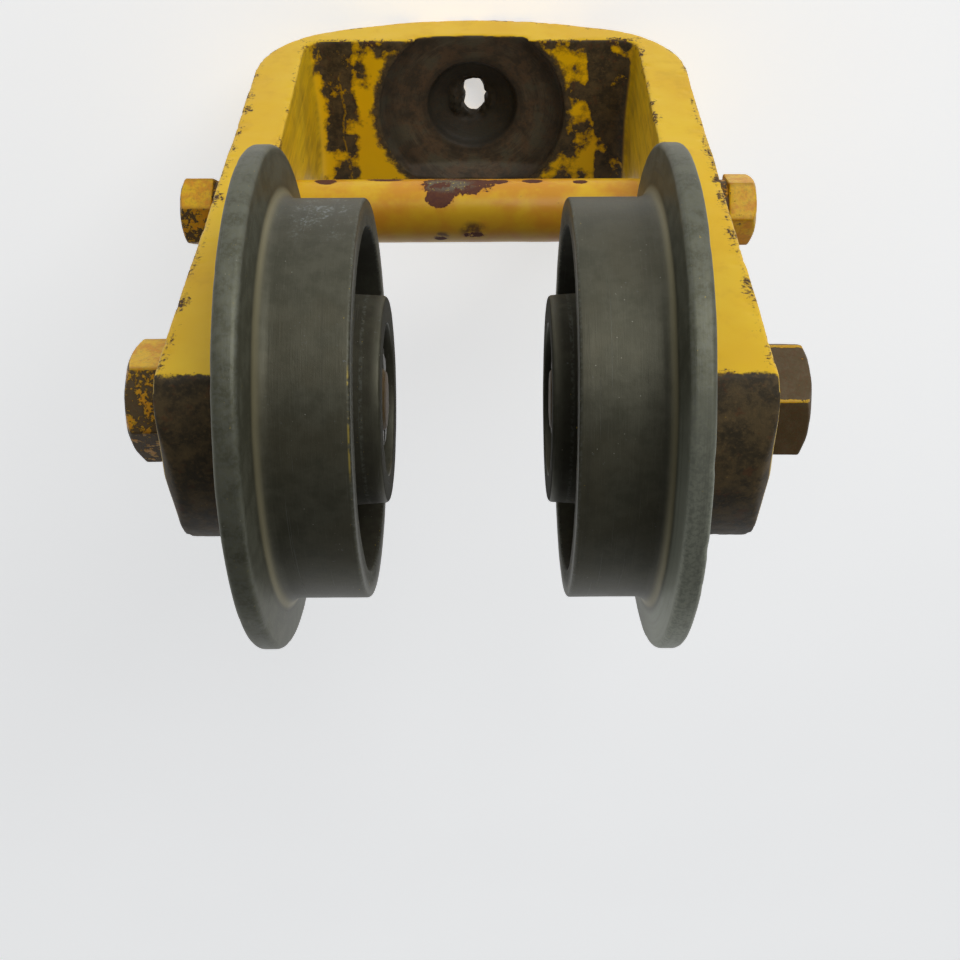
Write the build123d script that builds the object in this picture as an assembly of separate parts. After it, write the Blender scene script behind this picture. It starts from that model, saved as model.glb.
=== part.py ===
"""Beam trolley head: a forged yoke that carries two flanged wheels on stub axle bolts.

The yoke is a U whose crown is at the bottom and whose arms point up. The wheels run on
the lower flange of an I beam that lies along Y, with the beam's web between the wheels.
X runs along the axles, Z points up, and z = 0 is the flat spot under the crown.
Lengths are in millimetres and angles in degrees.
"""
from build123d import *
from math import cos, pi, radians, sin, sqrt, tan
import os

# --- Yoke -------------------------------------------------------------------------------
BAND_WIDTH = 51.6            # yoke, measured along the beam (Y)
FORGING_DRAFT = 3.0          # every wall leans in from the parting line at y = 0
CROWN_FLAT = 0.9             # depth of the flat spot under the crown
CROWN_INNER_Z = 18.8         # top of the crown at the parting line
CROWN_RADIUS = 137.0         # bow of the crown's underside
CORNER_RADIUS = 33.5         # between the crown's underside and an arm
INNER_CORNER_RADIUS = 4.5
ARM_INNER_X = 53.15          # arm's inner wall at the parting line
ARM_FOOT_X = 69.95           # arm's outer wall just above the corner
ARM_AXLE_X = 71.4            # arm's outer wall at the axle, where the arm has splayed a little
ARM_FOOT_Z = 46.7
ARM_TIP_ABOVE_AXLE = 32.3
ARM_TIP_RADIUS = 40.0        # bow of the arm's end
ARM_TIP_CORNER = 8.0         # outboard corner of the arm's end

AXLE_Z = 170.75
CROSS_Z = 80.6
AXLE_SEAT_RADIUS = 18.0      # flat spot on the arm's outer wall, under the axle bolt's head

# --- Seat and bore in the crown ---------------------------------------------------------
SEAT_RADIUS = 31.6
SEAT_EDGE_Z = 14.7           # seat floor at its rim, from where it dishes down to the bore
BORE_MOUTH_RADIUS = 15.6
BORE_MOUTH_Z = 11.3
BORE_THROAT_RADIUS = 14.4
BORE_THROAT_Z = 8.6
HOLE_RADIUS = 5.6
HOLE_TOP_Z = 4.2

# --- Cross bolt, its nut and the tube it clamps -----------------------------------------
PAD_RADIUS = 9.3
PAD_FACE_X = 75.4
PAD_ROOT = 8.0               # how deep the pad is rooted in the arm
CROSS_BOLT_DIAMETER = 12.7
CROSS_HOLE_DIAMETER = 13.1
CROSS_ACROSS_FLATS = 19.05
CROSS_HEAD = 8.4
CROSS_NUT = 9.7
CROSS_HEAD_TURN = 15.0       # rotation of the hexes, as they were left when tightened
CROSS_NUT_TURN = 35.5
CROSS_BOLT_SHORT = 0.4       # from the bolt's end to the nut's outer face
LOCK_WASHER = 1.8
LOCK_WASHER_RADIUS = 8.9
LOCK_WASHER_GAP = 1.2
LOCK_WASHER_SLANT = 35.0
TUBE_RADIUS = 9.45
TUBE_BORE_RADIUS = 6.9

# --- Axle bolt and what it holds --------------------------------------------------------
AXLE_DIAMETER = 17.0
AXLE_THREAD_DIAMETER = 15.8
AXLE_END_X = 20.6
AXLE_END_CHAMFER = 1.0
AXLE_HEAD = 11.7
AXLE_ACROSS_FLATS = 27.0
AXLE_HEAD_TURN = {"right": 9.7, "left": 36.3}
THRUST_WASHER_RADIUS = 13.0
NUT_ACROSS_FLATS = 24.0
NUT_HEIGHT = 8.3
NUT_SLOT = 3.4
NUT_SLOT_DEPTH = 3.2
NUT_WASHER = 1.9
NUT_WASHER_RADIUS = 12.2
COTTER_DIAMETER = 2.4
COTTER_LENGTH = 31.0
COTTER_MIDDLE_Z = -1.0
COTTER_EYE_Z = 15.6
COTTER_EYE_RADII = (2.0, 0.9)
COTTER_LEG_RADIUS = 0.8
COTTER_LEG_LENGTH = 4.2
COTTER_LEG_LEAN = 55.0
COTTER_LEG_MIDDLE = (1.1, -16.2)    # Y and Z of a bent leg's middle, below the axle

# --- Wheel ------------------------------------------------------------------------------
FLANGE_RADIUS = 62.25
FLANGE_OUTER_X = 51.2
FLANGE_INNER_X = 45.7
TREAD_RADIUS = 49.65
TREAD_INNER_X = 24.3
TREAD_OUTER_X = 44.5
RIM_WALL = 6.7
RIM_DRAFT = 1.4              # the pocket is this much narrower at its floor
POCKET_FLOOR_X = 40.0
HUB_RADIUS = 25.9
HUB_INNER_X = 20.0
HUB_BORE_RADIUS = 19.05
LIP_RADIUS = 15.2            # opening in the lip that stops the bearing
OUTER_RECESS = 2.6
OUTER_RECESS_RADII = (29.5, 52.0)
OUTER_RECESS_SLOPES = (1.0, 2.0)    # how far its inner and outer walls lean
HUB_ROUND = 0.8
POCKET_ROUND = 3.0
TREAD_EDGE_ROUND = 0.7
TREAD_FILLET = 3.0
FLANGE_ROUND = 1.2

# --- Bearing: a double row of balls -----------------------------------------------------
BEARING_INNER_X = 31.5
BEARING_OUTER_X = 49.0
INNER_RACE_RADIUS = 11.6
OUTER_RACE_RADIUS = 16.0
BALL_RADIUS = 3.0
BALL_GROOVE_RADIUS = 3.15
BALL_PITCH_RADIUS = 13.8
BALLS_PER_ROW = 8
BALL_ROW_OFFSET = 4.2
CAGE_RADII = (12.7, 14.9)
CAGE_WIDTH = 14.6
CAGE_POCKET_RADIUS = 3.15
CAGE_POCKET_DEPTH = 8.0
SHIELD = 0.5
SHIELD_RADII = (12.0, 17.2)
SNAP_RING = 1.6
SNAP_RING_RADII = (16.6, 20.1)
SNAP_GROOVE_RADIUS = 20.3
SNAP_RING_PLAY = 0.05
SNAP_RING_GAP = 9.0
SNAP_RING_GAP_DEPTH = 4.0
SNAP_EYE_RADIUS = 1.1
SNAP_EYE_FROM_GAP = 2.4

# --- Clearances -------------------------------------------------------------------------
END_GAP = 0.02               # between parts that are clamped or pressed end to end
HOLE_PLAY = 0.1              # radial, of a hole round its bolt
NUT_WASHER_PLAY = 0.2
COTTER_PLAY = 0.15

HALF_BAND = BAND_WIDTH / 2
BEARING_MIDDLE_X = (BEARING_INNER_X + BEARING_OUTER_X) / 2
NUT_FACE_X = BEARING_INNER_X - NUT_WASHER
SIDES = ("left", "right")
TRIM = 1.0                   # by how much a cut runs past the face it cuts
REACH = 100.0                # farther from the middle than any part along X and Y


def disc(radius, x_low, x_high, z=0.0):
    """A plain cylinder along X."""
    middle = Pos((x_low + x_high) / 2, 0, z)
    return middle * Cylinder(radius, x_high - x_low, rotation=(0, 90, 0))


def ring(outer_radius, inner_radius, x_low, x_high, z=0.0):
    return disc(outer_radius, x_low, x_high, z) - disc(inner_radius, x_low - TRIM, x_high + TRIM, z)


def turned(points, rounds=()):
    """A solid of revolution about X from (x, radius) points, with some corners rounded."""
    face = make_face(Polyline(*[(x, r) for x, r in points], close=True))
    for (x, r), radius in rounds:
        corner = face.vertices().sort_by_distance(Vector(x, r, 0))[0]
        face = fillet(corner, radius)
    return revolve(face, Axis.X)


def hexagon_bar(across_flats, x_low, x_high, turn, chamfer_low=True, chamfer_high=True):
    """A hexagonal prism along X, with its corners turned off at 30 degrees."""
    outline = RegularPolygon(across_flats / 2, 6, major_radius=False, rotation=turn)
    prism = extrude(Plane.YZ.offset(x_low) * outline, x_high - x_low)
    corner_radius = across_flats / sqrt(3) + 0.2
    face_radius = across_flats / 2 * 0.95
    slope = (corner_radius - face_radius) * tan(radians(30))
    low = [(x_low, 0), (x_low, face_radius), (x_low + slope, corner_radius)]
    high = [(x_high - slope, corner_radius), (x_high, face_radius), (x_high, 0)]
    if not chamfer_low:
        low = [(x_low, 0), (x_low, corner_radius)]
    if not chamfer_high:
        high = [(x_high, corner_radius), (x_high, 0)]
    return prism & turned(low + high)


def sided(part, side):
    """Parts are drawn on the +X side. The left ones are their mirror images."""
    return part if side == "right" else mirror(part, about=Plane.YZ)


def at_axle(part):
    return Pos(0, 0, AXLE_Z) * part


# --- Yoke -------------------------------------------------------------------------------
def yoke_outline(y):
    """The U in X and Z at a distance y from the parting line, where the draft has thinned it."""
    shift = abs(y) * tan(radians(FORGING_DRAFT))
    splay = (ARM_AXLE_X - ARM_FOOT_X) / (AXLE_Z - ARM_FOOT_Z)
    top_z = AXLE_Z + ARM_TIP_ABOVE_AXLE + TRIM
    top_x = ARM_AXLE_X + splay * (top_z - AXLE_Z) - shift
    corner_x = ARM_FOOT_X - splay * ARM_FOOT_Z - shift
    inner_x = ARM_INNER_X + shift
    inner_z = CROWN_INNER_Z - shift
    bow = CROWN_RADIUS - shift
    middle_z = shift - CROWN_FLAT
    bow_z = middle_z + bow - sqrt(bow ** 2 - corner_x ** 2)
    underside = ThreePointArc((-corner_x, bow_z), (0, middle_z), (corner_x, bow_z))
    rest = Polyline((corner_x, bow_z), (top_x, top_z), (inner_x, top_z), (inner_x, inner_z),
                    (-inner_x, inner_z), (-inner_x, top_z), (-top_x, top_z), (-corner_x, bow_z))
    face = make_face([underside, rest])
    for x, z, radius in ((top_x, top_z, ARM_TIP_CORNER), (-top_x, top_z, ARM_TIP_CORNER),
                         (corner_x, bow_z, CORNER_RADIUS - shift),
                         (-corner_x, bow_z, CORNER_RADIUS - shift),
                         (inner_x, inner_z, INNER_CORNER_RADIUS + shift),
                         (-inner_x, inner_z, INNER_CORNER_RADIUS + shift)):
        corner = face.vertices().sort_by_distance(Vector(x, z, 0))[0]
        face = fillet(corner, radius)
    return Plane.XZ.offset(-y) * face


def arm_end_block():
    """Everything below the bowed arm ends, as a block that the U is cut to."""
    tip_z = AXLE_Z + ARM_TIP_ABOVE_AXLE
    centre_z = tip_z - ARM_TIP_RADIUS
    shoulder_z = centre_z + sqrt(ARM_TIP_RADIUS ** 2 - HALF_BAND ** 2)
    bow = ThreePointArc((-HALF_BAND, shoulder_z), (0, tip_z), (HALF_BAND, shoulder_z))
    sides = Polyline((HALF_BAND, shoulder_z), (HALF_BAND, 0), (-HALF_BAND, 0),
                     (-HALF_BAND, shoulder_z))
    face = Plane.YZ.offset(-REACH) * make_face([bow, sides])
    return extrude(face, 2 * REACH)


def crown_bore():
    """The dished seat, the bore's mouth and throat, and the hole through the crown."""
    top_z = CROWN_INNER_Z + TRIM
    profile = [(0, -TRIM), (HOLE_RADIUS, -TRIM), (HOLE_RADIUS, HOLE_TOP_Z),
               (BORE_THROAT_RADIUS, BORE_THROAT_Z), (BORE_MOUTH_RADIUS, BORE_MOUTH_Z),
               (SEAT_RADIUS, SEAT_EDGE_Z), (SEAT_RADIUS, top_z), (0, top_z)]
    face = Plane.XZ * make_face(Polyline(*profile, close=True))
    return revolve(face, Axis.Z)


def make_yoke():
    halves = [loft([yoke_outline(0), yoke_outline(y)], ruled=True)
              for y in (-HALF_BAND, HALF_BAND)]
    body = (halves[0] + halves[1]) & arm_end_block()
    for side in (-1, 1):
        start, end = sorted((side * (ARM_INNER_X + PAD_ROOT), side * PAD_FACE_X))
        body += disc(PAD_RADIUS, start, end, CROSS_Z)
    under_crown = Pos(0, 0, -REACH / 2) * Box(2 * REACH, 2 * REACH, REACH)
    body -= under_crown
    body -= crown_bore()
    body -= disc(CROSS_HOLE_DIAMETER / 2, -REACH, REACH, CROSS_Z)
    body -= disc(AXLE_DIAMETER / 2, -REACH, REACH, AXLE_Z)
    for side in (-1, 1):
        start, end = sorted((side * ARM_AXLE_X, side * REACH))
        body -= disc(AXLE_SEAT_RADIUS, start, end, AXLE_Z)
    return body


# --- Cross bolt -------------------------------------------------------------------------
HEAD_SEAT_X = PAD_FACE_X + LOCK_WASHER


def make_spacer_tube():
    half = ARM_INNER_X - END_GAP
    return ring(TUBE_RADIUS, TUBE_BORE_RADIUS, -half, half, CROSS_Z)


def make_cross_bolt():
    head = hexagon_bar(CROSS_ACROSS_FLATS, -HEAD_SEAT_X - CROSS_HEAD, -HEAD_SEAT_X, CROSS_HEAD_TURN)
    shank = disc(CROSS_BOLT_DIAMETER / 2, -HEAD_SEAT_X, HEAD_SEAT_X + CROSS_NUT - CROSS_BOLT_SHORT)
    return Pos(0, 0, CROSS_Z) * (head + shank)


def make_cross_nut():
    nut = hexagon_bar(CROSS_ACROSS_FLATS, HEAD_SEAT_X, HEAD_SEAT_X + CROSS_NUT, CROSS_NUT_TURN)
    nut -= disc(CROSS_BOLT_DIAMETER / 2, 0, REACH)
    return Pos(0, 0, CROSS_Z) * nut


def make_lock_washer():
    """A split spring washer, cut through at a slant."""
    washer = ring(LOCK_WASHER_RADIUS, CROSS_BOLT_DIAMETER / 2 + HOLE_PLAY, PAD_FACE_X, HEAD_SEAT_X)
    middle = Pos((PAD_FACE_X + HEAD_SEAT_X) / 2, 0, -LOCK_WASHER_RADIUS)
    slot = Box(LOCK_WASHER_RADIUS, LOCK_WASHER_GAP, LOCK_WASHER_RADIUS)
    slot = middle * Rot(0, 0, LOCK_WASHER_SLANT) * slot
    return Pos(0, 0, CROSS_Z) * (washer - slot)


# --- Axle bolt --------------------------------------------------------------------------
def make_axle_bolt(side):
    head = hexagon_bar(AXLE_ACROSS_FLATS, ARM_AXLE_X, ARM_AXLE_X + AXLE_HEAD,
                       AXLE_HEAD_TURN[side], chamfer_low=False)
    shank = disc(AXLE_DIAMETER / 2, BEARING_INNER_X, ARM_AXLE_X)
    thread = disc(AXLE_THREAD_DIAMETER / 2, AXLE_END_X, BEARING_INNER_X)
    thread_end = thread.edges().filter_by(GeomType.CIRCLE).sort_by(Axis.X)[0]
    bolt = head + shank + chamfer(thread_end, AXLE_END_CHAMFER)
    cotter_hole = Pos(cotter_x(), 0, 0) * Cylinder(COTTER_DIAMETER / 2 + COTTER_PLAY, REACH)
    return at_axle(bolt - cotter_hole)


def cotter_x():
    return NUT_FACE_X - NUT_HEIGHT + NUT_SLOT_DEPTH / 2


def make_axle_nut():
    """A slotted nut. Its six slots take the cotter pin."""
    nut = hexagon_bar(NUT_ACROSS_FLATS, NUT_FACE_X - NUT_HEIGHT, NUT_FACE_X, 0, chamfer_high=False)
    nut -= disc(AXLE_THREAD_DIAMETER / 2, 0, REACH)
    for angle in (0, 60, 120):
        slot = Pos(cotter_x(), 0, 0) * Box(NUT_SLOT_DEPTH, NUT_SLOT, REACH)
        nut -= Rot(angle, 0, 0) * slot
    return at_axle(nut)


def make_nut_washer():
    bore_radius = AXLE_THREAD_DIAMETER / 2 + NUT_WASHER_PLAY
    return at_axle(ring(NUT_WASHER_RADIUS, bore_radius, NUT_FACE_X, BEARING_INNER_X))


def make_cotter_pin():
    """A straight double pin with its eye at the top and its legs spread at the bottom."""
    x = cotter_x()
    shaft = Pos(x, 0, COTTER_MIDDLE_Z) * Cylinder(COTTER_DIAMETER / 2, COTTER_LENGTH)
    eye = Pos(x, 0, COTTER_EYE_Z) * Rot(0, 90, 0) * Torus(*COTTER_EYE_RADII)
    pin = shaft + eye
    leg_y, leg_z = COTTER_LEG_MIDDLE
    for side in (-1, 1):
        turn = Rot(side * COTTER_LEG_LEAN, 0, 0)
        pin += Pos(x, side * leg_y, leg_z) * turn * Cylinder(COTTER_LEG_RADIUS, COTTER_LEG_LENGTH)
    return at_axle(pin)


def make_thrust_washer():
    bore_radius = AXLE_DIAMETER / 2 + HOLE_PLAY
    return at_axle(ring(THRUST_WASHER_RADIUS, bore_radius, BEARING_OUTER_X, ARM_INNER_X - END_GAP))


# --- Wheel ------------------------------------------------------------------------------
def make_wheel():
    rim_mouth = TREAD_RADIUS - RIM_WALL
    rim_floor = rim_mouth - RIM_DRAFT
    recess_x = FLANGE_OUTER_X - OUTER_RECESS
    recess_low, recess_high = OUTER_RECESS_RADII
    slope_low, slope_high = OUTER_RECESS_SLOPES
    points = [
        (HUB_INNER_X, HUB_BORE_RADIUS), (HUB_INNER_X, HUB_RADIUS),
        (POCKET_FLOOR_X, HUB_RADIUS + RIM_DRAFT), (POCKET_FLOOR_X, rim_floor),
        (TREAD_INNER_X, rim_mouth), (TREAD_INNER_X, TREAD_RADIUS),
        (TREAD_OUTER_X, TREAD_RADIUS), (FLANGE_INNER_X, FLANGE_RADIUS),
        (FLANGE_OUTER_X, FLANGE_RADIUS), (FLANGE_OUTER_X, recess_high),
        (recess_x, recess_high - slope_high), (recess_x, recess_low + slope_low),
        (FLANGE_OUTER_X, recess_low),
        (FLANGE_OUTER_X, LIP_RADIUS), (BEARING_OUTER_X, LIP_RADIUS),
        (BEARING_OUTER_X, HUB_BORE_RADIUS),
    ]
    rounds = [
        ((HUB_INNER_X, HUB_RADIUS), HUB_ROUND),
        ((POCKET_FLOOR_X, HUB_RADIUS + RIM_DRAFT), POCKET_ROUND),
        ((POCKET_FLOOR_X, rim_floor), POCKET_ROUND),
        ((TREAD_INNER_X, TREAD_RADIUS), TREAD_EDGE_ROUND),
        ((TREAD_OUTER_X, TREAD_RADIUS), TREAD_FILLET),
        ((FLANGE_INNER_X, FLANGE_RADIUS), FLANGE_ROUND),
        ((FLANGE_OUTER_X, FLANGE_RADIUS), FLANGE_ROUND),
    ]
    groove_low = BEARING_INNER_X - SNAP_RING - 2 * SNAP_RING_PLAY
    groove = ring(SNAP_GROOVE_RADIUS, HUB_BORE_RADIUS - TRIM, groove_low, BEARING_INNER_X)
    return at_axle(turned(points, rounds) - groove)


def ball_rows():
    return (BEARING_MIDDLE_X - BALL_ROW_OFFSET, BEARING_MIDDLE_X + BALL_ROW_OFFSET)


def ball_grooves():
    grooves = [Pos(x, 0, 0) * Rot(0, 90, 0) * Torus(BALL_PITCH_RADIUS, BALL_GROOVE_RADIUS)
               for x in ball_rows()]
    return grooves[0] + grooves[1]


def ball_places():
    """Centres of the balls. The second row sits half a pitch round from the first."""
    step = 2 * pi / BALLS_PER_ROW
    for row, x in enumerate(ball_rows()):
        for index in range(BALLS_PER_ROW):
            angle = step * (index + row / 2)
            yield angle, Pos(x, BALL_PITCH_RADIUS * cos(angle), BALL_PITCH_RADIUS * sin(angle))


def make_outer_race():
    race = ring(HUB_BORE_RADIUS, OUTER_RACE_RADIUS, BEARING_INNER_X, BEARING_OUTER_X)
    race -= ball_grooves()
    for x in (BEARING_INNER_X, BEARING_OUTER_X - SHIELD):
        race -= disc(SHIELD_RADII[1], x, x + SHIELD)
    return at_axle(race)


def make_inner_race():
    race = ring(INNER_RACE_RADIUS, AXLE_DIAMETER / 2, BEARING_INNER_X, BEARING_OUTER_X)
    return at_axle(race - ball_grooves())


def make_shields():
    low, high = SHIELD_RADII
    return [at_axle(ring(high, low, x, x + SHIELD))
            for x in (BEARING_INNER_X, BEARING_OUTER_X - SHIELD)]


def make_balls():
    return [at_axle(place * Sphere(BALL_RADIUS)) for _, place in ball_places()]


def make_cage():
    low, high = CAGE_RADII
    cage = ring(high, low, BEARING_MIDDLE_X - CAGE_WIDTH / 2, BEARING_MIDDLE_X + CAGE_WIDTH / 2)
    for angle, place in ball_places():
        turn = Rot(angle * 180 / pi - 90, 0, 0)
        cage -= place * turn * Cylinder(CAGE_POCKET_RADIUS, CAGE_POCKET_DEPTH)
    return at_axle(cage)


def make_snap_ring():
    low, high = SNAP_RING_RADII
    x_high = BEARING_INNER_X - SNAP_RING_PLAY
    x_low = x_high - SNAP_RING
    clip = ring(high, low, x_low, x_high)
    middle_x = (x_low + x_high) / 2
    clip -= Pos(middle_x, 0, high) * Box(SNAP_RING_GAP_DEPTH, SNAP_RING_GAP, high)
    eye_y = SNAP_RING_GAP / 2 + SNAP_EYE_FROM_GAP
    for y in (-eye_y, eye_y):
        z = sqrt(((low + high) / 2) ** 2 - y ** 2)
        clip -= Pos(0, y, z) * disc(SNAP_EYE_RADIUS, x_low - TRIM, x_high + TRIM)
    return at_axle(clip)


def write(name, solids):
    """One file for each node. A node may hold several solids."""
    pieces = solids if isinstance(solids, list) else [solids]
    shapes = [solid for piece in pieces for solid in piece.solids()]
    shape = shapes[0] if len(shapes) == 1 else Compound(shapes)
    shape.label = name
    export_step(shape, f"parts/{name}.step")


def main():
    os.makedirs("parts", exist_ok=True)
    write("yoke", make_yoke())
    write("spacer_tube", make_spacer_tube())
    write("cross_bolt", make_cross_bolt())
    write("cross_nut", make_cross_nut())
    lock_washer = make_lock_washer()
    write("cross_lock_washers", [lock_washer, mirror(lock_washer, about=Plane.YZ)])
    for side in SIDES:
        write(f"{side}_axle_bolt", sided(make_axle_bolt(side), side))
        write(f"{side}_axle_nut", sided(make_axle_nut(), side))
        write(f"{side}_nut_washer", sided(make_nut_washer(), side))
        write(f"{side}_cotter_pin", sided(make_cotter_pin(), side))
        write(f"{side}_thrust_washer", sided(make_thrust_washer(), side))
        write(f"{side}_wheel", sided(make_wheel(), side))
        write(f"{side}_outer_race", sided(make_outer_race(), side))
        write(f"{side}_inner_race", sided(make_inner_race(), side))
        write(f"{side}_bearing_shields", [sided(shield, side) for shield in make_shields()])
        write(f"{side}_ball_cage", sided(make_cage(), side))
        write(f"{side}_bearing_balls", [sided(ball, side) for ball in make_balls()])
        write(f"{side}_snap_ring", sided(make_snap_ring(), side))


main()
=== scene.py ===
from math import atan2, cos, hypot, pi, radians, sin, sqrt, tan
import bmesh
import bpy
import numpy as np
from mathutils import Matrix, Vector, noise


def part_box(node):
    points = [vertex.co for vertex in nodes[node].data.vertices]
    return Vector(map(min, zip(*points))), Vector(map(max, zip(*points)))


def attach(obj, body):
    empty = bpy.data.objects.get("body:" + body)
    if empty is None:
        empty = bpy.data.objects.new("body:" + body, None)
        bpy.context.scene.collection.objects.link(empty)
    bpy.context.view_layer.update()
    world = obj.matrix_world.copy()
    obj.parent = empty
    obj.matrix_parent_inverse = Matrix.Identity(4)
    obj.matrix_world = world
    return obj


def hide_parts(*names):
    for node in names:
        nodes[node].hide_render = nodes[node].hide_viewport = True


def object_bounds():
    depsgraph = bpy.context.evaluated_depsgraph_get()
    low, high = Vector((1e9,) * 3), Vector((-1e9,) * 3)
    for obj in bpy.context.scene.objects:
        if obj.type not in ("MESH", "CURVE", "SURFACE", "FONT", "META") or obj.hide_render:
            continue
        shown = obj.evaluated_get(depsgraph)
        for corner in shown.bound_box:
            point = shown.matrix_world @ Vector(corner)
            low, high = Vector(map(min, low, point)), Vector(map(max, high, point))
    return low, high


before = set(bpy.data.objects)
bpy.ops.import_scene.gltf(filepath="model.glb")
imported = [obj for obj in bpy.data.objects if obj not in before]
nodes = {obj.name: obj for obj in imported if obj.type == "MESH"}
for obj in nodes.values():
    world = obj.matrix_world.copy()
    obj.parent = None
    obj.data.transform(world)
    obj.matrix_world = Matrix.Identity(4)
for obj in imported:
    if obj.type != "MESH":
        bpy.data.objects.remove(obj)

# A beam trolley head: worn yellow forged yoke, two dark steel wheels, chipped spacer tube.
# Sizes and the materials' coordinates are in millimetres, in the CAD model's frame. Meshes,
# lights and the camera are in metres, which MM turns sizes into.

cad_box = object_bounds()
scene = bpy.context.scene
scene.view_settings.view_transform = "Standard"

MM = 0.001


# --- Where things are, in millimetres ---------------------------------------------------
def extent(node):
    """Lowest and highest corner of a CAD node."""
    return [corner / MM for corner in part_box(node)]


wheel_low, wheel_high = extent("right_wheel")
tube_low, tube_high = extent("spacer_tube")

AXLE_Z = (wheel_low.z + wheel_high.z) / 2
CROSS_Z = (tube_low.z + tube_high.z) / 2
FLANGE_RADIUS = (wheel_high.z - wheel_low.z) / 2
HUB_FACE_X = wheel_low.x
FLANGE_FACE_X = wheel_high.x
HALF_BAND = extent("yoke")[1].y
TUBE_RADIUS = (tube_high.z - tube_low.z) / 2
TUBE_HALF = tube_high.x

# The forging. Its walls are measured at y = 0, and lean in by DRAFT per millimetre of y.
DRAFT = tan(radians(3.0))
CROWN_INNER_Z = 18.8
CROWN_RADIUS = 137.0         # bow of the crown's underside
BOW_CENTRE_Z = 136.1
CORNER_RADIUS = 33.5         # between the crown's underside and an arm
CORNER_CENTRE_Z = 37.6
ARM_INNER_X = 53.15
ARM_OUTER_X = 70.2
ARM_SPLAY = 0.012            # outward lean of the arm's outer wall
ARM_MIDDLE_Z = 130.0         # where that wall is at ARM_OUTER_X
SEAT_RADIUS = 31.6
BORE_RADIUS = 15.6           # mouth of the bore in the seat
BARE_END_Z = AXLE_Z + 22.3   # the arms are bare above this

# The wheels. X is measured from the middle of the beam.
TREAD_RADIUS = 49.65
TREAD_INNER_X = 24.3
TREAD_OUTER_X = 44.5
FLANGE_INNER_X = 45.7
HUB_RADII = (25.9, 27.3)     # at the hub's face and at the pocket's floor
RIM_RADII = (42.95, 41.55)   # inside of the rim, at its edge and at the pocket's floor
POCKET_FLOOR_X = 40.0
BEARING_RADIUS = 19.05
LIP_RADIUS = 15.2            # opening in the lip that stops the bearing
LIP_X = 49.0
RECESS_X = 48.6              # floor of the shallow recess in the outer face
RECESS_RADII = ((29.5, 30.5), (50.0, 52.0))
SNAP_GROOVE_X = (29.8, 31.5)
SNAP_GROOVE_RADIUS = 20.3


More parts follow.
